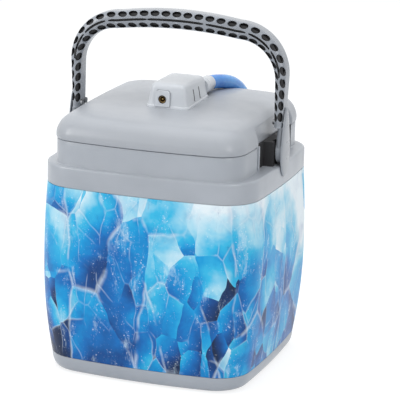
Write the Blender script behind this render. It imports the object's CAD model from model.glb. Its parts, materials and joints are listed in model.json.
"""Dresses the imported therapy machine: camera, hose, moulded shells, handle, printed sleeve and studio.

Points and sizes of the pieces are millimetres in the part's frame, and meshes are written in metres.
Materials, the camera and the studio use metres.
"""

import json
import math

import bmesh
import bpy
import numpy as np
from mathutils import Matrix, Vector


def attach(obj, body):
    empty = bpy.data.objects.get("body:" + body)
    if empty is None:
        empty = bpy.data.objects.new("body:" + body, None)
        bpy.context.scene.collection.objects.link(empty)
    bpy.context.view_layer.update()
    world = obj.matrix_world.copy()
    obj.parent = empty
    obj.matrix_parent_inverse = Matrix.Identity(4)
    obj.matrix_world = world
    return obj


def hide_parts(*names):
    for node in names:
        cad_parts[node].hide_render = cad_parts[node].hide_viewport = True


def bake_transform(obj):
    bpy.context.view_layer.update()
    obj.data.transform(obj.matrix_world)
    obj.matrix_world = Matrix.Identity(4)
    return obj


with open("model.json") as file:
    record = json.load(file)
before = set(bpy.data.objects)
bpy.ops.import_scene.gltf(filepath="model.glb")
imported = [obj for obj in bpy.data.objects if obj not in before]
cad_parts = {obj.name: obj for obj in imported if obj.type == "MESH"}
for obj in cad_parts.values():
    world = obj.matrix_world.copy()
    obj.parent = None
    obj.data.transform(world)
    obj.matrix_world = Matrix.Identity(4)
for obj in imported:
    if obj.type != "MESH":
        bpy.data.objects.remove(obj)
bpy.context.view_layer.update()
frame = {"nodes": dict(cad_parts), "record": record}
scene = bpy.context.scene
scene.view_settings.view_transform = "Standard"
MM = 0.001

# Camera -----------------------------------------------------------------------------------------

camera_data = bpy.data.cameras.new("camera")
camera_data.lens = 191.127  # fitted to the photograph's outlines, as are its place and axes
camera_data.sensor_width = 36
camera_data.sensor_fit = "HORIZONTAL"
camera_data.clip_end = 50
camera = bpy.data.objects.new("camera", camera_data)
scene.collection.objects.link(camera)
CAMERA_PLACE = (0.6922, -1.8796, 0.7001)
CAMERA_RIGHT = (0.93976906, 0.34102683, 0.02312619)
CAMERA_UP = (-0.11005246, 0.23782853, 0.96505235)
CAMERA_BACK = (0.32360867, -0.90947144, 0.26103473)
camera_turn = Matrix((CAMERA_RIGHT, CAMERA_UP, CAMERA_BACK)).transposed().to_4x4()
camera.matrix_world = Matrix.Translation(Vector(CAMERA_PLACE)) @ camera_turn
scene.camera = camera

# Materials --------------------------------------------------------------------------------------


def linear(rgb):
    """Screen colour in 0..255 as linear light, with alpha."""
    out = []
    for c in rgb:
        c = c / 255
        out.append(c / 12.92 if c <= 0.04045 else ((c + 0.055) / 1.055) ** 2.4)
    return (*out, 1.0)


class Nodes:
    """A material's node tree with short calls to add and join nodes."""

    def __init__(self, name):
        self.material = bpy.data.materials.new(name)
        self.material.use_nodes = True
        self.tree = self.material.node_tree
        self.shader = self.tree.nodes["Principled BSDF"]
        self.place = self.add("ShaderNodeTexCoord").outputs["Object"]

    def add(self, kind, **settings):
        node = self.tree.nodes.new(kind)
        for key, value in settings.items():
            setattr(node, key, value)
        return node

    def join(self, source, target):
        self.tree.links.new(source, target)

    def math(self, operation, a, b):
        node = self.add("ShaderNodeMath", operation=operation)
        for socket, value in zip(node.inputs, (a, b)):
            if isinstance(value, (int, float)):
                socket.default_value = value
            else:
                self.join(value, socket)
        return node.outputs[0]

    def noise(self, scale, detail=3.0, roughness=0.55, vector=None, stretch=None):
        """Noise of this many bumps a metre."""
        vector = vector or self.place
        if stretch:
            mapping = self.add("ShaderNodeMapping")
            mapping.inputs["Scale"].default_value = stretch
            self.join(vector, mapping.inputs["Vector"])
            vector = mapping.outputs[0]
        node = self.add("ShaderNodeTexNoise")
        node.inputs["Scale"].default_value = scale
        node.inputs["Detail"].default_value = detail
        node.inputs["Roughness"].default_value = roughness
        self.join(vector, node.inputs["Vector"])
        return node

    def voronoi(self, scale, feature="F1", vector=None):
        node = self.add("ShaderNodeTexVoronoi", feature=feature)
        node.inputs["Scale"].default_value = scale
        self.join(vector or self.place, node.inputs["Vector"])
        return node

    def ramp(self, source, stops):
        """Colours from stops of (position, colour)."""
        node = self.add("ShaderNodeValToRGB")
        elements = node.color_ramp.elements
        while len(elements) < len(stops):
            elements.new(0.5)
        for element, (position, colour) in zip(elements, stops):
            element.position = position
            element.color = colour
        self.join(source, node.inputs["Fac"])
        return node.outputs["Color"]

    def span(self, source, low, high, to_low=0.0, to_high=1.0):
        """Smooth step from to_low at low to to_high at high."""
        node = self.add("ShaderNodeMapRange", interpolation_type="SMOOTHSTEP")
        for key, value in (("From Min", low), ("From Max", high), ("To Min", to_low), ("To Max", to_high)):
            node.inputs[key].default_value = value
        self.join(source, node.inputs["Value"])
        return node.outputs[0]

    def mix(self, factor, a, b):
        """Blends colour a into colour b; 0, 6 and 7 are the colour sockets of the node."""
        node = self.add("ShaderNodeMix", data_type="RGBA")
        for key, value in ((0, factor), (6, a), (7, b)):
            if isinstance(value, tuple):
                node.inputs[key].default_value = value
            else:
                self.join(value, node.inputs[key])
        return node.outputs[2]

    def bump(self, height, strength, distance):
        node = self.add("ShaderNodeBump")
        node.inputs["Strength"].default_value = strength
        node.inputs["Distance"].default_value = distance
        self.join(height, node.inputs["Height"])
        return node.outputs[0]

    def gloss(self, coat, coat_roughness, **more):
        """Constant values on the shader's own sockets."""
        self.shader.inputs["Coat Weight"].default_value = coat
        self.shader.inputs["Coat Roughness"].default_value = coat_roughness
        for key, value in more.items():
            self.shader.inputs[key.replace("_", " ")].default_value = value


def plastic(name, rgb, roughness=0.4, grain=0.05, coat=0.0, mottle=4, edge=6):
    """Moulded plastic: faint flow mottle, fine spark-eroded grain, paler rubbed edges."""
    n = Nodes(name)
    shade = [tuple(max(0, c + d) for c in rgb) for d in (-mottle, mottle)]
    cloud = n.noise(26, 2).outputs["Fac"]
    base = n.ramp(cloud, [(0.3, linear(shade[0])), (0.7, linear(shade[1]))])
    rub = n.span(n.add("ShaderNodeNewGeometry").outputs["Pointiness"], 0.53, 0.62)
    worn = linear([min(255, c + edge) for c in rgb])
    n.join(n.mix(rub, base, worn), n.shader.inputs["Base Color"])
    speck = n.noise(1100, 2).outputs["Fac"]
    smear = n.noise(60, 2).outputs["Fac"]
    n.join(n.span(smear, 0.25, 0.75, roughness - 0.05, roughness + 0.05), n.shader.inputs["Roughness"])
    n.join(n.bump(speck, grain, 0.0002), n.shader.inputs["Normal"])
    n.gloss(coat, 0.15)
    return n.material


def metal(name, rgb, roughness, stretch=(1, 1, 0.04)):
    """Turned or drawn metal with fine lines along one way."""
    n = Nodes(name)
    lines = n.noise(1400, 3, 0.6, stretch=stretch).outputs["Fac"]
    dark = tuple(c * 0.82 for c in rgb)
    n.join(n.ramp(lines, [(0.3, linear(dark)), (0.7, linear(rgb))]), n.shader.inputs["Base Color"])
    n.join(n.span(lines, 0.3, 0.7, roughness - 0.07, roughness + 0.1), n.shader.inputs["Roughness"])
    n.join(n.bump(lines, 0.1, 0.0001), n.shader.inputs["Normal"])
    n.shader.inputs["Metallic"].default_value = 1.0
    return n.material


def foam(name, rgb, cell):
    """Cellular foam with open pores."""
    n = Nodes(name)
    pores = n.voronoi(cell).outputs["Distance"]
    dark = tuple(c * 0.72 for c in rgb)
    n.join(n.ramp(pores, [(0.1, linear(dark)), (0.5, linear(rgb))]), n.shader.inputs["Base Color"])
    n.join(n.bump(pores, 0.5, 0.0006), n.shader.inputs["Normal"])
    n.shader.inputs["Roughness"].default_value = 0.92
    return n.material


def hose_material():
    """Glossy blue hose wall with slight depth, faint unevenness and paler scuffs."""
    n = Nodes("hose_blue")
    cloud = n.noise(40, 4).outputs["Fac"]
    base = n.ramp(cloud, [(0.3, linear((36, 118, 208))), (0.7, linear((84, 162, 230)))])
    scuff = n.span(n.noise(420, 6, 0.7).outputs["Fac"], 0.6, 0.72, 0.0, 0.25)
    n.join(n.mix(scuff, base, linear((120, 168, 222))), n.shader.inputs["Base Color"])
    n.join(n.span(cloud, 0.3, 0.7, 0.12, 0.2), n.shader.inputs["Roughness"])
    n.join(n.bump(n.noise(900, 2).outputs["Fac"], 0.06, 0.0002), n.shader.inputs["Normal"])
    n.gloss(0.35, 0.08, Subsurface_Weight=0.12, Subsurface_Radius=(0.002, 0.004, 0.008))
    return n.material


def clear_material():
    """Milky tubing."""
    n = Nodes("milky_tube")
    cloud = n.noise(70, 3).outputs["Fac"]
    tones = [(0.3, linear((205, 212, 216))), (0.7, linear((228, 233, 236)))]
    n.join(n.ramp(cloud, tones), n.shader.inputs["Base Color"])
    n.join(n.span(cloud, 0.3, 0.7, 0.22, 0.34), n.shader.inputs["Roughness"])
    n.shader.inputs["Transmission Weight"].default_value = 0.35
    return n.material


def print_material():
    """Printed sleeve: leaning ice crystals of two sizes, pale above and deep blue below, under frost."""
    n = Nodes("frost_print")
    warp = n.noise(14, 3, 0.5)
    shift = n.add("ShaderNodeVectorMath", operation="MULTIPLY_ADD")
    n.join(warp.outputs["Color"], shift.inputs[0])
    shift.inputs[1].default_value = (0.02, 0.02, 0.02)
    n.join(n.place, shift.inputs[2])
    bent = shift.outputs[0]

    def crystals(scale, lean, stretch):
        """Per-crystal tone, a slope across each crystal, and its rim, for one size of crystal."""
        turn = n.add("ShaderNodeMapping")
        turn.inputs["Rotation"].default_value = lean
        turn.inputs["Scale"].default_value = (1, 1, stretch)
        n.join(bent, turn.inputs["Vector"])
        space = turn.outputs[0]
        cell = n.voronoi(scale, vector=space)
        offset = n.add("ShaderNodeVectorMath", operation="SUBTRACT")
        n.join(space, offset.inputs[0])
        n.join(cell.outputs["Position"], offset.inputs[1])
        way = n.add("ShaderNodeVectorMath", operation="SUBTRACT")
        n.join(cell.outputs["Color"], way.inputs[0])
        way.inputs[1].default_value = (0.5, 0.5, 0.5)
        slope = n.add("ShaderNodeVectorMath", operation="DOT_PRODUCT")
        n.join(offset.outputs[0], slope.inputs[0])
        n.join(way.outputs[0], slope.inputs[1])
        tone = n.add("ShaderNodeSeparateXYZ")
        n.join(cell.outputs["Color"], tone.inputs[0])
        edge = n.voronoi(scale, "DISTANCE_TO_EDGE", space).outputs["Distance"]
        return tone.outputs[0], n.math("MULTIPLY", slope.outputs["Value"], scale), edge

    big_tone, big_slope, big_edge = crystals(19, (0.25, 0.5, 0.1), 0.42)
    small_tone, small_slope, small_edge = crystals(52, (-0.2, -0.35, 0.4), 0.5)
    axes = n.add("ShaderNodeSeparateXYZ")
    n.join(bent, axes.inputs[0])
    # deep blue to white by height, a little by place, and by drifting clouds
    height = n.math("MULTIPLY", axes.outputs[2], 3.2)
    across = n.math("MULTIPLY", n.math("ADD", axes.outputs[0], axes.outputs[1]), 0.9)
    cloud = n.math("MULTIPLY", n.noise(9, 5, 0.6, bent).outputs["Fac"], 1.15)
    place = n.math("ADD", n.math("ADD", height, across), n.math("ADD", cloud, -0.44))
    patch = n.span(n.noise(9, 2, 0.4).outputs["Fac"], 0.42, 0.58)  # where the small crystals show
    for tone, slope, weight in ((big_tone, big_slope, 1.0), (small_tone, small_slope, patch)):
        step = n.math("MULTIPLY", n.math("SUBTRACT", tone, 0.5), 0.16)
        facet = n.math("ADD", step, n.math("MULTIPLY", slope, 0.62))
        place = n.math("ADD", place, n.math("MULTIPLY", facet, weight))
    base = n.ramp(
        place,
        [
            (0.06, linear((0, 30, 66))),
            (0.2, linear((0, 66, 132))),
            (0.33, linear((0, 108, 184))),
            (0.45, linear((0, 152, 214))),
            (0.56, linear((52, 184, 226))),
            (0.67, linear((160, 216, 236))),
            (0.82, linear((230, 242, 247))),
        ],
    )
    frost = n.noise(70, 9, 0.75, bent, (1.0, 1.0, 0.4)).outputs["Fac"]
    base = n.mix(n.span(frost, 0.55, 0.7, 0.0, 0.5), base, linear((214, 236, 246)))
    base = n.mix(n.span(frost, 0.28, 0.42, 0.38, 0.0), base, linear((0, 74, 150)))
    glint = n.noise(33, 3).outputs["Fac"]  # where the crystals' rims catch the light
    for edge, width, strength in ((big_edge, 0.03, 0.5), (small_edge, 0.04, 0.3)):
        lit = n.span(glint, 0.45, 0.62, 0.0, strength)
        line = n.math("MULTIPLY", n.span(edge, 0.0, width, 1.0, 0.0), lit)
        base = n.mix(line, base, linear((236, 247, 252)))
        dull = n.math("MULTIPLY", n.span(edge, width, 3.2 * width, 0.32, 0.0), lit)
        base = n.mix(dull, base, linear((0, 84, 160)))
    specks = n.span(n.noise(520, 2).outputs["Fac"], 0.62, 0.7)
    grit = n.math("MULTIPLY", specks, n.span(frost, 0.45, 0.6, 0.0, 0.55))
    base = n.mix(grit, base, linear((244, 250, 253)))
    n.join(base, n.shader.inputs["Base Color"])
    n.join(n.span(glint, 0.3, 0.7, 0.34, 0.42), n.shader.inputs["Roughness"])
    n.join(n.bump(n.noise(700, 2).outputs["Fac"], 0.04, 0.0002), n.shader.inputs["Normal"])
    n.gloss(0.1, 0.2, Specular_IOR_Level=0.25)
    return n.material


materials = {
    "grey": plastic("moulded_grey", (164, 169, 176), 0.33, coat=0.2, edge=24),
    "grip": plastic("moulded_grip_grey", (140, 145, 152), 0.3, coat=0.35, edge=26),
    "lid": plastic("moulded_lid_grey", (164, 168, 174), 0.36, 0.012, coat=0.1, mottle=2, edge=0),
    "housing": plastic("moulded_pale_grey", (198, 202, 207), 0.34, coat=0.2, edge=14),
    "white": plastic("moulded_white", (228, 228, 224), 0.45, mottle=3),
    "black": plastic("moulded_black", (20, 20, 22), 0.55, 0.15, edge=20),
    "rubber": plastic("rubber_black", (36, 36, 38), 0.75, 0.4, edge=10),
    "print": print_material(),
    "hose": hose_material(),
    "foam": foam("foam_white", (236, 234, 224), 900),
    "filter": foam("filter_foam_blue", (70, 118, 190), 480),
    "steel": metal("steel_turned", (168, 170, 173), 0.32),
    "brass": metal("brass_turned", (150, 124, 80), 0.38),
    "wire": plastic("wire_red", (160, 34, 30), 0.5, edge=12),
    "tube": clear_material(),
}

SLOTS = {
    "grey_plastic": "grey",
    "pale_plastic": "housing",
    "white_plastic": "white",
    "black_plastic": "black",
    "print": "print",
    "hose": "hose",
    "rubber": "rubber",
    "foam": "foam",
    "filter_foam": "filter",
    "steel": "steel",
    "brass": "brass",
    "red_wire": "wire",
    "clear_tube": "tube",
}
slot_of = {row["node"]: row["material_slot"] for row in frame["record"]["subparts"]}

# Mesh helpers -----------------------------------------------------------------------------------

SHARP = 32  # degrees, from which an edge is shaded sharp
WELD = 1e-7


def build(name, verts, faces, look, sharp=SHARP):
    """Piece from millimetre points, with outward normals and smooth shading below the sharp angle."""
    mesh = bpy.data.meshes.new(name)
    mesh.from_pydata([tuple(float(c) * MM for c in v) for v in verts], [], faces)
    bm = bmesh.new()
    bm.from_mesh(mesh)
    bmesh.ops.remove_doubles(bm, verts=bm.verts, dist=WELD)
    bmesh.ops.recalc_face_normals(bm, faces=bm.faces)
    bm.to_mesh(mesh)
    bm.free()
    piece = bpy.data.objects.new(name, mesh)
    scene.collection.objects.link(piece)
    mesh.materials.append(materials[look])
    soften(piece, sharp)
    return piece


def soften(piece, sharp=SHARP):
    """Smooth shading, with edges above the sharp angle left crisp."""
    piece.data.shade_smooth()
    piece.data.set_sharp_from_angle(angle=math.radians(sharp))


def loft(name, rings, look, closed=False, sharp=SHARP):
    """Piece with a skin over rings of equal point count; see loft_parts."""
    verts, faces = loft_parts(rings, closed)
    return build(name, verts, faces, look, sharp)


def loft_parts(rings, closed=False, base=0):
    """Points and faces of a skin over rings: a loop if closed, else with a cap at each end.

    base is the number of points that come before these in the mesh."""
    count, n = len(rings), len(rings[0])
    verts = [p for ring in rings for p in ring]
    faces = []
    for k in range(count if closed else count - 1):
        a, b = k * n, ((k + 1) % count) * n
        for i in range(n):
            j = (i + 1) % n
            faces.append((base + a + i, base + a + j, base + b + j, base + b + i))
    if not closed:
        for first in (0, (count - 1) * n):
            centre = len(verts)
            verts.append(tuple(np.mean([verts[first + i] for i in range(n)], axis=0)))
            for i in range(n):
                faces.append((base + first + i, base + first + (i + 1) % n, base + centre))
    return verts, faces


def bake_modifiers(piece):
    """Puts what the modifiers make into the mesh."""
    graph = bpy.context.evaluated_depsgraph_get()
    mesh = bpy.data.meshes.new_from_object(piece.evaluated_get(graph))
    piece.modifiers.clear()
    piece.data = mesh


def cut(piece, cutter, crossing=False):
    """Takes cutter away from piece and deletes it; crossing is for a cutter whose parts overlap."""
    modifier = piece.modifiers.new("cut", "BOOLEAN")
    modifier.operation = "DIFFERENCE"
    modifier.solver = "EXACT"
    modifier.use_self = crossing
    modifier.material_mode = "TRANSFER"
    modifier.object = cutter
    bpy.context.view_layer.update()
    bake_modifiers(piece)
    bpy.data.objects.remove(cutter)
    soften(piece)


def settle(piece, body, node):
    """The piece moves with the body and stands for the node."""
    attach(piece, body)
    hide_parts(node)


CORNER_STEPS = 8


def arc(centre, radius, start, end, count):
    """Points from start to end, in degrees."""
    turns = np.radians(np.linspace(start, end, count))
    return np.array(centre) + radius * np.stack([np.cos(turns), np.sin(turns)], 1)


def rounded(half_w, half_d, r):
    """Rectangle with round corners."""
    corners = ((1, -1, -90), (1, 1, 0), (-1, 1, 90), (-1, -1, 180))
    return np.vstack([
        arc((x * (half_w - r), y * (half_d - r)), r, start, start + 90, CORNER_STEPS)
        for x, y, start in corners
    ])


def lathe(profile, axis_point, axis="y", sides=48):
    """Rings of a form turned about y or x; profile is (radius, distance along the axis)."""
    turns = np.linspace(0, 2 * math.pi, sides, endpoint=False)
    rings = []
    for radius, along in profile:
        a, b = radius * np.cos(turns), radius * np.sin(turns)
        flat = np.full(sides, float(along))
        if axis == "y":
            rings.append(np.stack([axis_point[0] + a, flat, axis_point[1] + b], 1))
        else:
            rings.append(np.stack([flat, axis_point[0] + a, axis_point[1] + b], 1))
    return rings


# Hose, along the route of its solids ------------------------------------------------------------

HOSE_R = 7.0
LEAD = [  # from the gland over the lid's back edge
    (14, 44, 268), (15.5, 50, 267.7), (18, 58, 267), (20.3, 66, 265.8), (22.4, 74, 264), (24.3, 82, 261.4),
    (26, 90, 257.6), (27.4, 97, 253), (28.6, 103.5, 247.2), (29.7, 109.3, 240.3), (30.5, 114.6, 231.6),
    (31.1, 118.8, 222), (31.6, 121.4, 211.5), (32, 122.7, 200), (32, 123, 188), (32, 123, 175),
]
HOSE_X, HOSE_Y, TAIL_BEND_R, TAIL_BEND_Z = 32, 123, 62, 83.5
TAIL = [(HOSE_X, HOSE_Y, z) for z in (152.1, 129.3, 106.4)]
TAIL += [
    (HOSE_X - TAIL_BEND_R * (1 - math.cos(a)), HOSE_Y, TAIL_BEND_Z - TAIL_BEND_R * math.sin(a))
    for a in np.radians(range(0, 76, 15))
]
TAIL += [(-28, HOSE_Y, 21.5)]  # onto the coil's upper layer
COIL_CENTRE = (-42, 207)
COIL_R, COIL_PITCH, COIL_LAYER = 84, 14.6, 14.5
TURN_IN, COIL_END, COIL_STEP = 450, 810, 15  # degrees along the coil
STRAIGHT_END = (16, 36, 50)


def coil_radius(t):
    """Spirals in up to TURN_IN and out again below it."""
    return COIL_R - COIL_PITCH * (TURN_IN - abs(t - TURN_IN)) / 360


def coil_point(t):
    """Point of the coil at t degrees, stepping down a layer about TURN_IN."""
    k = min(1, max(0, (t - TURN_IN + 90) / 180))
    height = HOSE_R + COIL_LAYER * (1 - k * k * (3 - 2 * k))
    turn = math.radians(-90 - t)
    r = coil_radius(t)
    return (COIL_CENTRE[0] + r * math.cos(turn), COIL_CENTRE[1] + r * math.sin(turn), height)


END_X = COIL_CENTRE[0] - coil_radius(COIL_END)
hose_route = np.array(
    LEAD
    + TAIL
    + [coil_point(t) for t in range(0, COIL_END + 1, COIL_STEP)]
    + [(END_X, COIL_CENTRE[1] + d, HOSE_R) for d in STRAIGHT_END],
    float,
)


def smooth_route(points, steps):
    """Catmull-Rom curve through the points."""
    padded = np.vstack([2 * points[0] - points[1], points, 2 * points[-1] - points[-2]])
    out = []
    for a, b, c, d in zip(padded, padded[1:], padded[2:], padded[3:]):
        for t in np.arange(steps) / steps:
            out.append(
                0.5
                * (
                    2 * b
                    + (c - a) * t
                    + (2 * a - 5 * b + 4 * c - d) * t**2
                    + (3 * b - a - 3 * c + d) * t**3
                )
            )
    return np.array(out + [points[-1]])


def tube_rings(route, radius, sides):
    """Rings along a route whose twist follows the route."""
    heading = np.gradient(route, axis=0)
    heading /= np.linalg.norm(heading, axis=1)[:, None]
    side = np.cross(heading[0], (0, 0, 1.0))
    side /= np.linalg.norm(side)
    turns = np.linspace(0, 2 * math.pi, sides, endpoint=False)
    rings = []
    for point, way in zip(route, heading):
        side = side - way * (side @ way)
        side /= np.linalg.norm(side)
        rise = np.cross(way, side)
        circle = np.cos(turns)[:, None] * side + np.sin(turns)[:, None] * rise
        rings.append(point + radius * circle)
    return rings


route = smooth_route(hose_route, 4)
hose = loft("hose", tube_rings(route, HOSE_R, 24), "hose", sharp=50)
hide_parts("hose_lead", "hose_tail", "hose_coil")
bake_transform(hose)

# Body outlines seen from above ------------------------------------------------------------------

BOW_X, BOW_Y = 2.2, 3.7  # how far the sides and the front bulge between the corners
POCKET = (-45, 60)  # front and back end of the side pockets
POCKET_X = 91  # their floor
POCKET_REACH = 75  # outlines whose sides are shorter than this get a shorter pocket
END_ROUND = 1.8
BODY_W, BODY_D, BELLY_Z, BODY_TOP, BASE_H = 221.6, 213, 110, 186, 16
SEAM_Z, NECK_TOP, LEDGE_Z, COLLAR_Z = 230.8, 230.2, 206.8, 186.5
NECK = (96.3, 101.5, 25.5)  # half width, half depth, corner radius
COLLAR = (108.3, 105, 36)


def bow_radius(half, bow):
    """Radius of an arc over a side of this half length that bulges by bow."""
    return (half * half + bow * bow) / (2 * bow)


def outline(half_w, half_d, corner, inset=0.0, notch=None):
    """Outline with bowed sides and arc corners; notch, a wall's thickness, lets the side pockets in."""
    front_r, side_r = bow_radius(half_w - corner, BOW_Y), bow_radius(half_d - corner, BOW_X)
    front_c, side_c = np.array([0, -half_d + front_r]), np.array([half_w - side_r, 0])
    gap = side_c - front_c
    d = np.linalg.norm(gap)
    u = gap / d
    a = ((front_r - corner) ** 2 - (side_r - corner) ** 2 + d * d) / (2 * d)
    h = math.sqrt(max(0, (front_r - corner) ** 2 - a * a))
    picks = [front_c + a * u + way * h * np.array([u[1], -u[0]]) for way in (1, -1)]
    c = min(picks, key=lambda p: p[1])  # middle of the corner's arc, which touches both bows
    start = math.degrees(math.atan2(*(c - front_c)[::-1]))
    end = math.degrees(math.atan2(*(c - side_c)[::-1]))
    quarter = np.vstack([
        arc(front_c, front_r - inset, -90, start, 16)[:-1],
        arc(c, corner - inset, start, end, 26)[:-1],
    ])
    reach = -(side_r - inset) * math.sin(math.radians(end))

    def x_at(y):
        return side_c[0] + math.sqrt((side_r - inset) ** 2 - y * y)

    s = min(1.0, reach / POCKET_REACH)
    low, high = (POCKET[0] - (notch or 0)) * s, (POCKET[1] + (notch or 0)) * s
    side = [(x_at(y), y) for y in np.linspace(-reach, low - 2 * s, 8)]
    side += pocket_end(x_at, low, 1, s, notch)
    side += [(floor_x(x_at(y), notch), y) for y in np.linspace(low + 2 * s, high - 2 * s, 12)]
    side += pocket_end(x_at, high, -1, s, notch)[::-1]
    side += [(x_at(y), y) for y in np.linspace(high + 2 * s, reach, 8)]
    half = np.vstack([quarter, side, quarter[:0:-1] * [1, -1]])
    back_middle = np.array([[0, quarter[0][1] * -1]])
    return np.vstack([half, back_middle, half[:0:-1] * [-1, 1]])


def floor_x(x, notch):
    """Side position over the pocket's length: the pocket's floor where there is a pocket."""
    return x if notch is None else min(x, POCKET_X - notch)


def pocket_end(x_at, y, way, s, notch):
    """Points round one end wall of a side pocket, from outside the pocket to its floor."""
    outer = x_at(y)
    floor = POCKET_X - (notch or 0)
    k = 0 if notch is None else min(1, max(0, (outer - floor) / 3))
    walls = [
        (outer, y - END_ROUND * way), (outer - 0.5, y - 0.6 * way), (outer - END_ROUND, y),
        (floor + 0.9, y), (floor + 0.26, y + 0.26 * way), (floor, y + 0.9 * way),
    ]
    places = [y + way * s * t for t in (-1.8, -0.9, -0.3, 0.3, 0.8, 1.4)]
    return [(x_at(p) + k * (wx - x_at(p)), p + k * (wy - p)) for p, (wx, wy) in zip(places, walls)]


def at(points, z):
    """Ring of these points at height z."""
    return np.column_stack([points, np.full(len(points), float(z))])


# Printed sleeve and base rim --------------------------------------------------------------------

BODY_HALF = np.array([BODY_W / 2, BODY_D / 2])
TOP_IN, BASE_IN = np.array([2.5, 1.5]), np.array([7.8, 5.5])  # how far top and base lie inside the belly
BASE_CORNER, BELLY_GROWS = 33, 3
SLEEVE_T, SLEEVE_EDGE = 1.0, 0.35
RIM_IN = np.array([6.2, 4])  # how far the rim rounds in to its underside
RIM_UNDER, RIM_STEPS, PAN_FLOOR = 2, 16, 5


def sleeve_half(z):
    """Half width and half depth of the bellied body at height z."""
    if z > BELLY_Z:
        draw = TOP_IN * ((z - BELLY_Z) / (BODY_TOP - BELLY_Z)) ** 2
    else:
        draw = BASE_IN * ((BELLY_Z - z) / (BELLY_Z - BASE_H)) ** 2
    return BODY_HALF - draw


def sleeve_ring(z, inset):
    corner = BASE_CORNER + BELLY_GROWS * min(1, (z - BASE_H) / (BELLY_Z - BASE_H))
    return at(outline(*sleeve_half(z), corner, inset), z)


levels = np.linspace(BASE_H + 0.4, BODY_TOP, 56)
outside = [sleeve_ring(levels[0], SLEEVE_EDGE)]
outside += [sleeve_ring(z, 0) for z in levels]
outside += [sleeve_ring(BODY_TOP, SLEEVE_EDGE)]
inside = [sleeve_ring(z, SLEEVE_T) for z in levels[::-3]]
sleeve = loft("frost_sleeve", outside + inside, "print", closed=True)
settle(sleeve, "root", "print_sleeve")


def rim_top(inset, z):
    return at(outline(*(BODY_HALF - BASE_IN), BASE_CORNER, inset), z)


floor_ring = outline(BODY_W / 2 - 14, BODY_D / 2 - 9.5, BASE_CORNER - 3)
rim = [at(floor_ring * f, RIM_UNDER) for f in (0.3, 0.9, 0.985)]
for k in range(RIM_STEPS + 1):
    a = math.radians(90 * k / RIM_STEPS)
    under = 1 - math.sin(a)
    rise = RIM_UNDER + (BASE_H - RIM_UNDER) * (1 - math.cos(a))
    rim.append(at(outline(*(BODY_HALF - BASE_IN - RIM_IN * under), BASE_CORNER - 3 * under), rise))
rim += [rim_top(0.6, BASE_H), rim_top(2.6, BASE_H), rim_top(3.2, BASE_H - 0.6), rim_top(9, PAN_FLOOR)]
rim += [at(floor_ring * 0.3, PAN_FLOOR)]
settle(loft("base_rim", rim, "grey"), "root", "base_pan")

# Collar with its ledge and neck -----------------------------------------------------------------

NECK_T = 5


def collar(inset, z):
    return at(outline(*COLLAR, inset), z)


def neck(inset, z):
    """Ring of the neck; only its outer skin has the side pockets."""
    return at(outline(*NECK, inset, notch=0 if inset < NECK_T else None), z)


collar_rings = [  # outside, from the sleeve's edge over the ledge and up the neck
    collar(3.4, COLLAR_Z), collar(0.5, COLLAR_Z), collar(0.12, COLLAR_Z + 0.2),
    collar(0, COLLAR_Z + 0.6), collar(0, COLLAR_Z + 10), collar(0, LEDGE_Z - 2.4),
    collar(0.2, LEDGE_Z - 1.5), collar(0.7, LEDGE_Z - 0.7), collar(1.5, LEDGE_Z - 0.2),
    collar(2.4, LEDGE_Z), neck(-1.4, LEDGE_Z), neck(-0.7, LEDGE_Z + 0.15),
    neck(-0.2, LEDGE_Z + 0.6), neck(0, LEDGE_Z + 1.4), neck(0, LEDGE_Z + 12),
    neck(0, NECK_TOP - 0.9), neck(0.26, NECK_TOP - 0.26), neck(0.9, NECK_TOP),
]
collar_rings += [  # inside, down the tub's seat and back to the sleeve
    neck(7.5, NECK_TOP), neck(7.5, NECK_TOP - 2), neck(9.5, NECK_TOP - 2),
    neck(9.5, COLLAR_Z - 5), neck(6.5, COLLAR_Z - 5), neck(6.5, LEDGE_Z - 3),
    collar(6, LEDGE_Z - 3), collar(6, COLLAR_Z - 6), collar(3.8, COLLAR_Z - 6),
    collar(3.8, COLLAR_Z),
]
collar_verts, collar_faces = loft_parts(collar_rings, closed=True)

RIB_Y, RIB_T, RIB_OUT, RIB_ROUND = -38, 3, NECK[0] - 1.5, 0.7
RIB_IN = POCKET_X - 1
RIB_PROFILE = [(LEDGE_Z - 0.5, 0), (NECK_TOP - 1.2, 0), (NECK_TOP - 0.7, 0.15), (NECK_TOP - 0.5, 0.6)]


def rib_ring(side, z, draw):
    """Upright rib in a side pocket, drawn in at its top."""
    ring = rounded((RIB_OUT - RIB_IN) / 2 - draw, RIB_T / 2 - draw, RIB_ROUND)
    return at(ring * [side, 1] + [side * (RIB_OUT + RIB_IN) / 2, RIB_Y + RIB_T / 2], z)


def gather(verts, faces, rings):
    """Adds a capped skin over rings to the points and faces."""
    more_verts, more_faces = loft_parts(rings, base=len(verts))
    verts += more_verts
    faces += more_faces


for side in (-1, 1):
    gather(collar_verts, collar_faces, [rib_ring(side, z, draw) for z, draw in RIB_PROFILE])
settle(build("collar", collar_verts, collar_faces, "grey"), "root", "collar_ring")

# Lid --------------------------------------------------------------------------------------------

LID_H, LID_TILT, LID_T = 25.6, 3.5, 3
CROWN_IN = 60
INNER_H = 0.88  # height of the inner skin over the outer's
GROOVE_Y, GROOVE_Z, GROOVE_GAP = 46, 205, 0.5  # where the hose lies in the lid, and its clearance
LID_PROFILE = [  # height above the seam, inset from the neck
    (0, -0.6), (4.3, -0.8), (8.3, 0), (13.3, 2.2), (17, 5.2), (19.8, 8.8),
    (21.7, 13), (23.5, 22), (24.9, 38), (LID_H, CROWN_IN),
]


def lid_top(y):
    """Height of the lid's top, which rises to the back."""
    d = NECK[1] - CROWN_IN
    return SEAM_Z + LID_H + LID_TILT * (y + d) / (2 * d)


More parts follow.
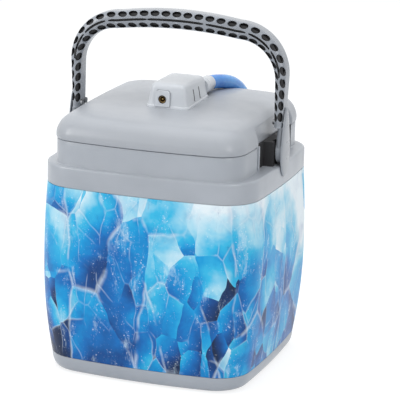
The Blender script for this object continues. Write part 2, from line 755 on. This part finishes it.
def lid_ring(height, inset, wall=0):
    half_w, half_d = NECK[0] - inset - wall, NECK[1] - inset - wall
    points = outline(half_w, half_d, max(NECK[2] - (inset + wall) / 2, 8), notch=wall)
    z = SEAM_Z + height + LID_TILT * (height / LID_H) * (points[:, 1] + half_d) / (2 * half_d)
    return np.column_stack([points, z])


shoulder = smooth_route(np.array(LID_PROFILE, float), 5)  # rounder than the solid's
crown = lid_ring(LID_H, CROWN_IN)
lid_rings = [crown * [f, f, 1] for f in (0.25, 0.6)]
for ring in lid_rings:
    ring[:, 2] = [lid_top(y) for y in ring[:, 1]]
lid_rings += [lid_ring(h, i) for h, i in shoulder[:0:-1]]
lid_rings += [lid_ring(0.5, -0.55), lid_ring(0.1, -0.2), lid_ring(0, 0.3)]  # softened lower edge
lid_rings += [lid_ring(h * INNER_H, i, LID_T) for h, i in shoulder[::4]]
lid_rings += [crown * [0.25, 0.25, 1] - [0, 0, LID_T + 0.2]]
lid = loft("lid_shell", lid_rings, "lid")
groove_route = route[(route[:, 1] > GROOVE_Y) & (route[:, 2] > GROOVE_Z)]
cut(lid, loft("groove", tube_rings(groove_route, HOSE_R + GROOVE_GAP, 32), "lid"))
settle(lid, "lid", "lid_cover")

# Pump housing, its socket and the hose gland ----------------------------------------------------

HOUSING_W, HOUSING_D, HOUSING_Y, HOUSING_TOP, HOUSING_T = 44, 60, -5, 280, 2
JACK_X, JACK_Y, JACK_Z, PLATE_W = -4.5, -35, 265, 14.7


def housing_ring(share, side_in, end_in, wall=0):
    """Ring of the housing at this share of its height above the lid."""
    r = 5.4 - side_in * 0.1
    points = rounded(HOUSING_W / 2 - side_in - wall, HOUSING_D / 2 - end_in - wall, r - 0.5 * wall)
    points = points + [0, HOUSING_Y]
    foot = np.array([lid_top(y) for y in points[:, 1]])
    return np.column_stack([points, foot + (HOUSING_TOP - foot) * share])


HOUSING_PROFILE = [  # share of the height, inset of the sides, inset of the ends
    (-0.01, 0, 0), (0.05, 0, 0), (0.075, 0.15, 0.12), (0.09, 0.6, 0.45), (0.1, 0.95, 0.75),
    (0.12, 1.1, 0.85), (0.5, 2.6, 1.3), (0.8, 3.9, 1.75), (0.86, 4.25, 2.05), (0.91, 4.8, 2.6),
    (0.95, 5.6, 3.4), (0.98, 6.8, 4.5), (0.995, 8.3, 6), (1.0, 10.5, 8),
]
housing_rings = [housing_ring(*p) for p in HOUSING_PROFILE]
top_ring = (housing_rings[-1][:, :2] - [0, HOUSING_Y]) * 0.5 + [0, HOUSING_Y]
housing_rings += [at(top_ring, HOUSING_TOP)]
inner_rings = [housing_ring(p[0] * 0.9, p[1], p[2], HOUSING_T) for p in HOUSING_PROFILE[::-2]]
housing = loft("housing", housing_rings[::-1] + inner_rings[::-1], "housing")


WINDOW_UP, WINDOW_R, PLATE_GAP = 8.6, 3.6, 0.35
VENTS_Y = (-13.7, 1)
VENT_LOW = (HOUSING_TOP + SEAM_Z + LID_H) / 2 - 7
VENT_SHAPE = [(-0.8, 0.6), (0, 0), (0.8, 0.6), (0.8, 11.4), (0, 12), (-0.8, 11.4)]


def window(half, y0, y1, grow=0.0):
    """Arch-topped window prism along y."""
    low, high = lid_top(JACK_Y) + 1.2 - grow, JACK_Z + WINDOW_UP + grow
    r = WINDOW_R
    shape = [(-half, low), (half, low)]
    shape += [tuple(p) for p in arc((half - r, high - r), r, 0, 90, CORNER_STEPS)]
    shape += [tuple(p) for p in arc((-half + r, high - r), r, 90, 180, CORNER_STEPS)]
    return [np.array([(JACK_X + x, y, z) for x, z in shape]) for y in (y0, y1)]


window_cutter = window(PLATE_W / 2 + PLATE_GAP, -60, JACK_Y + 8, PLATE_GAP)
cut(housing, loft("window", window_cutter, "housing"))
for y in VENTS_Y:
    for side in (-1, 1):
        rings = [
            np.array([(side * (HOUSING_W / 2 - 5) + x, y + dy, VENT_LOW + dz) for dy, dz in VENT_SHAPE])
            for x in (-3, 8 if side > 0 else 3)
        ]
        cut(housing, loft("vent", rings, "black"))
settle(housing, "lid", "pump_housing")

PLATE_MID_Z = 268
plate_rings = window(PLATE_W / 2, JACK_Y + 4.4, JACK_Y - 0.5)
plate_rings += [
    np.array([
        (JACK_X + (x - JACK_X) * 0.955, JACK_Y - 0.8, PLATE_MID_Z + (z - PLATE_MID_Z) * 0.965)
        for x, _, z in plate_rings[0]
    ])
]
plate = loft("socket_plate", plate_rings, "housing")
bore = [(4.05, JACK_Y + 8), (4.05, JACK_Y - 0.5), (4.5, JACK_Y - 0.95), (4.5, JACK_Y - 3)]
cut(plate, loft("bore", lathe(bore, (JACK_X, JACK_Z)), "housing"))
settle(plate, "lid", "jack_plate")

socket_profile = [
    (1.2, JACK_Y + 12.8), (3.4, JACK_Y + 12.8), (3.95, JACK_Y + 12), (3.95, JACK_Y - 0.2),
    (3.7, JACK_Y - 0.4), (3.3, JACK_Y - 0.4), (3.1, JACK_Y - 0.2), (3.1, JACK_Y + 0.6),
    (2.6, JACK_Y + 0.7), (2.45, JACK_Y + 1.1), (2.45, JACK_Y + 10.5), (1.2, JACK_Y + 10.5),
]
BRASS_R, BRASS_FRONT = 3.15, JACK_Y - 0.25
socket = loft("socket", lathe(socket_profile, (JACK_X, JACK_Z)), "black", closed=True)
socket.data.materials.append(materials["brass"])
for face in socket.data.polygons:
    centre = face.center
    reach = math.hypot(centre.x / MM - JACK_X, centre.z / MM - JACK_Z)
    if reach < BRASS_R and centre.y / MM > BRASS_FRONT:
        face.material_index = 1
settle(socket, "lid", "jack_body")
pin_profile = [
    (0.25, JACK_Y + 0.8), (0.8, JACK_Y + 1), (1.05, JACK_Y + 1.5), (1.05, JACK_Y + 12),
    (0.8, JACK_Y + 15),
]
pin = loft("socket_pin", lathe(pin_profile, (JACK_X, JACK_Z), sides=24), "brass")
settle(pin, "lid", "jack_pin")

GLAND = (14, 268)
gland_profile = [
    (4, 22), (7.4, 22), (7.8, 23.6), (7.8, 27), (7.3, 27.4), (7.3, 28), (7.75, 28.4), (7.75, 41.6),
    (7.5, 42.6), (7.25, 43.2), (7.25, 43.9), (4, 43.9),
]
gland = loft("gland", lathe(gland_profile, GLAND), "housing")
settle(gland, "lid", "hose_gland")

# Handle -----------------------------------------------------------------------------------------

PIVOT_Y, PIVOT_Z = -3, 220
HANDLE_X, HANDLE_TOP, ARCH, BAR_T, LEG_T, BEND_R, WALL = 109.6, 346.4, 5, 17, 10.6, 49, 2
PITCH, HOLE_TIP, HOLE_LONG, HOLE_WIDE = 11.1, math.radians(43), 4.5, 3  # the grip holes
NOSE_B = 5.5  # depth of the half oval at the front of the section
NOSE_Y, BACK_Y, BACK_R = PIVOT_Y - NOSE_B, PIVOT_Y + 7.7, 3.2
LEG_FOOT = PIVOT_Z + 23.2
BEND_IN = BEND_R - (BAR_T + LEG_T) / 2 + 1.8
BAR_OUT = HANDLE_TOP - ARCH
BAR_HALF = HANDLE_X - BEND_R
BEND_Z = BAR_OUT - BEND_R
BEND_LEN = (BEND_R + BEND_IN) / 2 * math.pi / 2
LEG_LEN = BEND_Z - LEG_FOOT
HANDLE_LEN = BAR_HALF + BEND_LEN + LEG_LEN


def station(s):
    """Outer point, inner point of the handle in its plane at distance s from the bar's middle."""
    m, sign = abs(s), -1 if s < 0 else 1
    if m < BAR_HALF:
        u = m / BAR_HALF
        lift = 1 - u * u
        outer = (m, BAR_OUT + ARCH * lift)
        inner = (m * (HANDLE_X - LEG_T - BEND_IN) / BAR_HALF, BAR_OUT - BAR_T + (ARCH - 0.5) * lift)
    elif m < BAR_HALF + BEND_LEN:
        a = math.pi / 2 * (1 - (m - BAR_HALF) / BEND_LEN)
        outer = (BAR_HALF + BEND_R * math.cos(a), BEND_Z + BEND_R * math.sin(a))
        inner = (
            HANDLE_X - LEG_T - BEND_IN + BEND_IN * math.cos(a),
            BAR_OUT - BAR_T - BEND_IN * (1 - math.sin(a)),
        )
    else:
        d = (m - BAR_HALF - BEND_LEN) / LEG_LEN
        outer = (HANDLE_X - 2 * min(1, d * 1.15), BEND_Z - LEG_LEN * d)
        top = BAR_OUT - BAR_T - BEND_IN
        inner = (HANDLE_X - LEG_T + 0.6 * d, top - (top - LEG_FOOT) * d)
    return np.array([sign * outer[0], outer[1]]), np.array([sign * inner[0], inner[1]])


def handle_ring(s, wall):
    """Section of the handle at s: a half oval in front, a rounded flat back."""
    outer, inner = station(s)
    mid, across = (outer + inner) / 2, (outer - inner) / 2
    k = 1 - wall / np.linalg.norm(across)
    nose = [
        (math.sin(t), NOSE_Y - (NOSE_B - wall) * math.cos(t))
        for t in np.radians(np.linspace(90, -90, 25))
    ]
    back = BACK_Y - wall
    corner = [
        (1 - 0.36 * (1 - math.cos(t)), back - BACK_R * (1 - math.sin(t)))
        for t in np.radians(np.linspace(0, 90, 8))
    ]
    rounding = [(-x, y) for x, y in corner] + corner[::-1]
    return np.array([(*(mid + across * k * q), y) for q, y in nose + rounding])[:, [0, 2, 1]]


stops = np.concatenate([
    np.linspace(0, BAR_HALF, 22)[1:-1],
    BAR_HALF + np.linspace(0, BEND_LEN, 34),
    BAR_HALF + BEND_LEN + np.linspace(0, LEG_LEN, 16)[1:],
])
stops = np.concatenate([-stops[::-1], [0], stops])
outer_skin = [handle_ring(s, 0) for s in stops]
inner_skin = [handle_ring(s, WALL) for s in stops]
handle = loft("handle_grip", outer_skin + inner_skin[::-1], "grip", closed=True)


def section_at(s):
    """Middle, along and outward directions of the handle at s, and its half width there."""
    outer, inner = station(s)
    out = (outer - inner) / np.linalg.norm(outer - inner)
    along = np.array([out[1], -out[0]])
    return (outer + inner) / 2, along, out, np.linalg.norm(outer - inner) / 2


def grip_hole(s, side):
    """Rings of an oval cutter, flared at the surface."""
    mid, along, out, half = section_at(s)
    reach, front = math.sin(HOLE_TIP), math.cos(HOLE_TIP)
    lean = math.atan2(reach / half, front / NOSE_B)
    normal = np.array([*(out * side * math.sin(lean)), -math.cos(lean)])[[0, 2, 1]]
    long_way = np.array([along[0], 0, along[1]])
    cross_way = np.cross(normal, long_way)
    surface = np.array([*(mid + out * side * half * reach), NOSE_Y - NOSE_B * front])[[0, 2, 1]]
    turns = np.linspace(0, 2 * math.pi, 24, endpoint=False)
    rings = []
    for depth, grow in ((-2.9, -0.1), (-0.45, 0), (0.1, 0.3), (1.2, 0.45)):
        a, b = HOLE_LONG + grow, HOLE_WIDE + grow
        oval = np.cos(turns)[:, None] * a * long_way + np.sin(turns)[:, None] * b * cross_way
        rings.append(surface + normal * depth + oval)
    return rings


def slit_rings(s0, s1):
    """Cutter for the slit along the handle's front from s0 to s1, narrower at its ends."""
    steps = max(3, int(abs(s1 - s0) / 4))
    y_front, y_back = NOSE_Y - NOSE_B - 1, NOSE_Y - NOSE_B + WALL + 0.3
    rings = []
    for i in range(steps + 1):
        mid, _, out, _ = section_at(s0 + (s1 - s0) * i / steps)
        w = SLIT_W / 2 * (0.55 if i in (0, steps) else 1)
        corners = ((w, y_front), (w, y_back), (-w, y_back), (-w, y_front))
        rings.append(np.array([(*(mid + out * x), y) for x, y in corners])[:, [0, 2, 1]])
    return rings


SLITS, SLIT_W = [(-29, 27), (29.5, 69), (72, 97), (99.5, 126)], 2.3
verts, faces, rim_faces = [], [], []
holes = int((HANDLE_LEN - 8) / PITCH)
for k in range(-holes, holes + 1):
    for side in (-1, 1):
        rings = grip_hole(k * PITCH, side)
        sides = len(rings[0])
        rim_faces += range(len(faces) + sides, len(faces) + 3 * sides)  # the flare keeps the grip's colour
        gather(verts, faces, rings)
for a, b in SLITS + [(-b, -a) for a, b in SLITS[1:]]:
    gather(verts, faces, slit_rings(a, b))
grip_cutters = build("grip_cutters", verts, faces, "black")
grip_cutters.data.materials.append(materials["grip"])
for k in rim_faces:
    grip_cutters.data.polygons[k].material_index = 1
cut(handle, grip_cutters, crossing=True)
settle(handle, "handle", "handle_shell")

# Leaves below the legs --------------------------------------------------------------------------

LEAF_HALF, LEAF_UP, LEAF_DOWN, LEAF_BODY, LEAF_NARROWS = 13.6, 42, 25.5, 0.88, 0.35
LEAF_IN, LEAF_OUT = 102.95, 108.75  # the thick body behind the leaf, from the pocket out to the leaf
LEAF_STEPS = 72
LEAF_PROFILE = [  # outward position, share of the leaf's width and height
    (108.7, 0.96, 0.98), (108.8, 1, 1), (109.3, 1, 1), (109.7, 0.975, 0.99), (110.0, 0.92, 0.965),
    (110.25, 0.8, 0.9), (110.45, 0.6, 0.75), (110.6, 0.3, 0.4),
]
HUB_PROFILE = [(6.2, 102.9), (11.6, 102.9), (12.2, 103.5), (12.2, 108.8), (6.2, 108.8)]


def leaf_outline(scale_y, scale_z):
    points = []
    for a in np.radians(np.linspace(0, 360, LEAF_STEPS, endpoint=False)):
        s, c = math.sin(a), math.cos(a)
        narrow = 1 - LEAF_NARROWS * max(0, s)
        points.append((LEAF_HALF * c * narrow * scale_y, (LEAF_UP if s > 0 else LEAF_DOWN) * s * scale_z))
    return np.array(points)


leaf_verts, leaf_faces = [], []
for side in (-1, 1):
    paddle = [
        np.column_stack([np.full(LEAF_STEPS, side * x), leaf_outline(sy, sz) + [PIVOT_Y, PIVOT_Z]])
        for x, sy, sz in LEAF_PROFILE
    ]
    hub = lathe([(radius, side * x) for radius, x in HUB_PROFILE], (PIVOT_Y, PIVOT_Z), "x")
    body = []
    for up in np.linspace(0, LEG_FOOT - PIVOT_Z - 0.2, 12):
        sine = up / LEAF_UP
        deep = LEAF_BODY * LEAF_HALF * math.sqrt(1 - sine * sine) * (1 - LEAF_NARROWS * sine)
        ring = rounded((LEAF_OUT - LEAF_IN) / 2, deep, 2.6)
        middle = [side * (LEAF_OUT + LEAF_IN) / 2, PIVOT_Y]
        body.append(at(ring * [side, 1] + middle, PIVOT_Z + up))
    for rings in (paddle, hub, body):
        gather(leaf_verts, leaf_faces, rings)
settle(build("leaves", leaf_verts, leaf_faces, "grip"), "handle", "pivot_leaves")

# CAD nodes that stay take their finish here -----------------------------------------------------

for name, node in frame["nodes"].items():
    node.data.materials.clear()
    node.data.materials.append(materials[SLOTS[slot_of[name]]])
    for face in node.data.polygons:
        face.material_index = 0

# Studio -----------------------------------------------------------------------------------------


def seen_rays(tree):
    """1 for camera, glossy and transmission rays, so that gloss and glass show the white surround."""
    path = tree.nodes.new("ShaderNodeLightPath")
    total = path.outputs["Is Camera Ray"]
    for key in ("Is Glossy Ray", "Is Transmission Ray"):
        add = tree.nodes.new("ShaderNodeMath")
        add.operation = "MAXIMUM"
        tree.links.new(total, add.inputs[0])
        tree.links.new(path.outputs[key], add.inputs[1])
        total = add.outputs[0]
    return total


def mix_by_rays(tree, unseen, seen, output):
    """The output shows seen to camera, glossy and transmission rays, and unseen to the others."""
    pick = tree.nodes.new("ShaderNodeMixShader")
    tree.links.new(seen_rays(tree), pick.inputs[0])
    tree.links.new(unseen.outputs[0], pick.inputs[1])
    tree.links.new(seen.outputs[0], pick.inputs[2])
    tree.links.new(pick.outputs[0], tree.nodes[output].inputs["Surface"])


world = bpy.data.worlds.new("studio")
scene.world = world
world.use_nodes = True
tree = world.node_tree
light_sky = tree.nodes["Background"]
light_sky.inputs["Color"].default_value = (0.96, 0.98, 1.0, 1)
light_sky.inputs["Strength"].default_value = 0.44
white_sky = tree.nodes.new("ShaderNodeBackground")
white_sky.inputs["Color"].default_value = (1, 1, 1, 1)
white_sky.inputs["Strength"].default_value = 1.0
mix_by_rays(tree, light_sky, white_sky, "World Output")

REACH, FLOOR_Z = 12, -0.0002  # metres; just under the feet, so that no face lies in the floor
floor_corners = [(x * REACH, y * REACH, 0) for x, y in ((-1, -1), (1, -1), (1, 1), (-1, 1))]
floor_mesh = bpy.data.meshes.new("floor")
floor_mesh.from_pydata(floor_corners, [], [(0, 1, 2, 3)])
floor = bpy.data.objects.new("floor", floor_mesh)
scene.collection.objects.link(floor)
floor.location.z = FLOOR_Z
floor_look = bpy.data.materials.new("pale_floor")
floor_look.use_nodes = True
tree = floor_look.node_tree
pale = tree.nodes["Principled BSDF"]
pale.inputs["Base Color"].default_value = (0.75, 0.76, 0.78, 1)
pale.inputs["Roughness"].default_value = 0.9
shaded = tree.nodes.new("ShaderNodeBsdfDiffuse")
shaded.inputs["Color"].default_value = (0.35, 0.36, 0.37, 1)
glow = tree.nodes.new("ShaderNodeEmission")
glow.inputs["Strength"].default_value = 0.78
white_with_shadow = tree.nodes.new("ShaderNodeAddShader")
tree.links.new(shaded.outputs[0], white_with_shadow.inputs[0])
tree.links.new(glow.outputs[0], white_with_shadow.inputs[1])
mix_by_rays(tree, pale, white_with_shadow, "Material Output")
floor_mesh.materials.append(floor_look)


MIDDLE = Vector((0, 0, 0.18))


def lamp(name, place, size, power, gloss=True):
    """Rectangular lamp that faces the machine; without gloss it makes no highlights."""
    data = bpy.data.lights.new(name, "AREA")
    data.shape = "RECTANGLE"
    data.size, data.size_y = size
    data.energy = power
    lamp_object = bpy.data.objects.new(name, data)
    scene.collection.objects.link(lamp_object)
    lamp_object.location = place
    lamp_object.visible_glossy = gloss
    lamp_object.rotation_euler = (MIDDLE - Vector(place)).to_track_quat("-Z", "Y").to_euler()


lamp("top_soft", (-0.2, 0.1, 1.9), (1.6, 1.6), 27, gloss=False)
lamp("front_left", (-1.5, -1.4, 0.85), (0.8, 1.0), 14)
lamp("front_right", (1.6, -1.2, 0.9), (0.8, 1.0), 11)
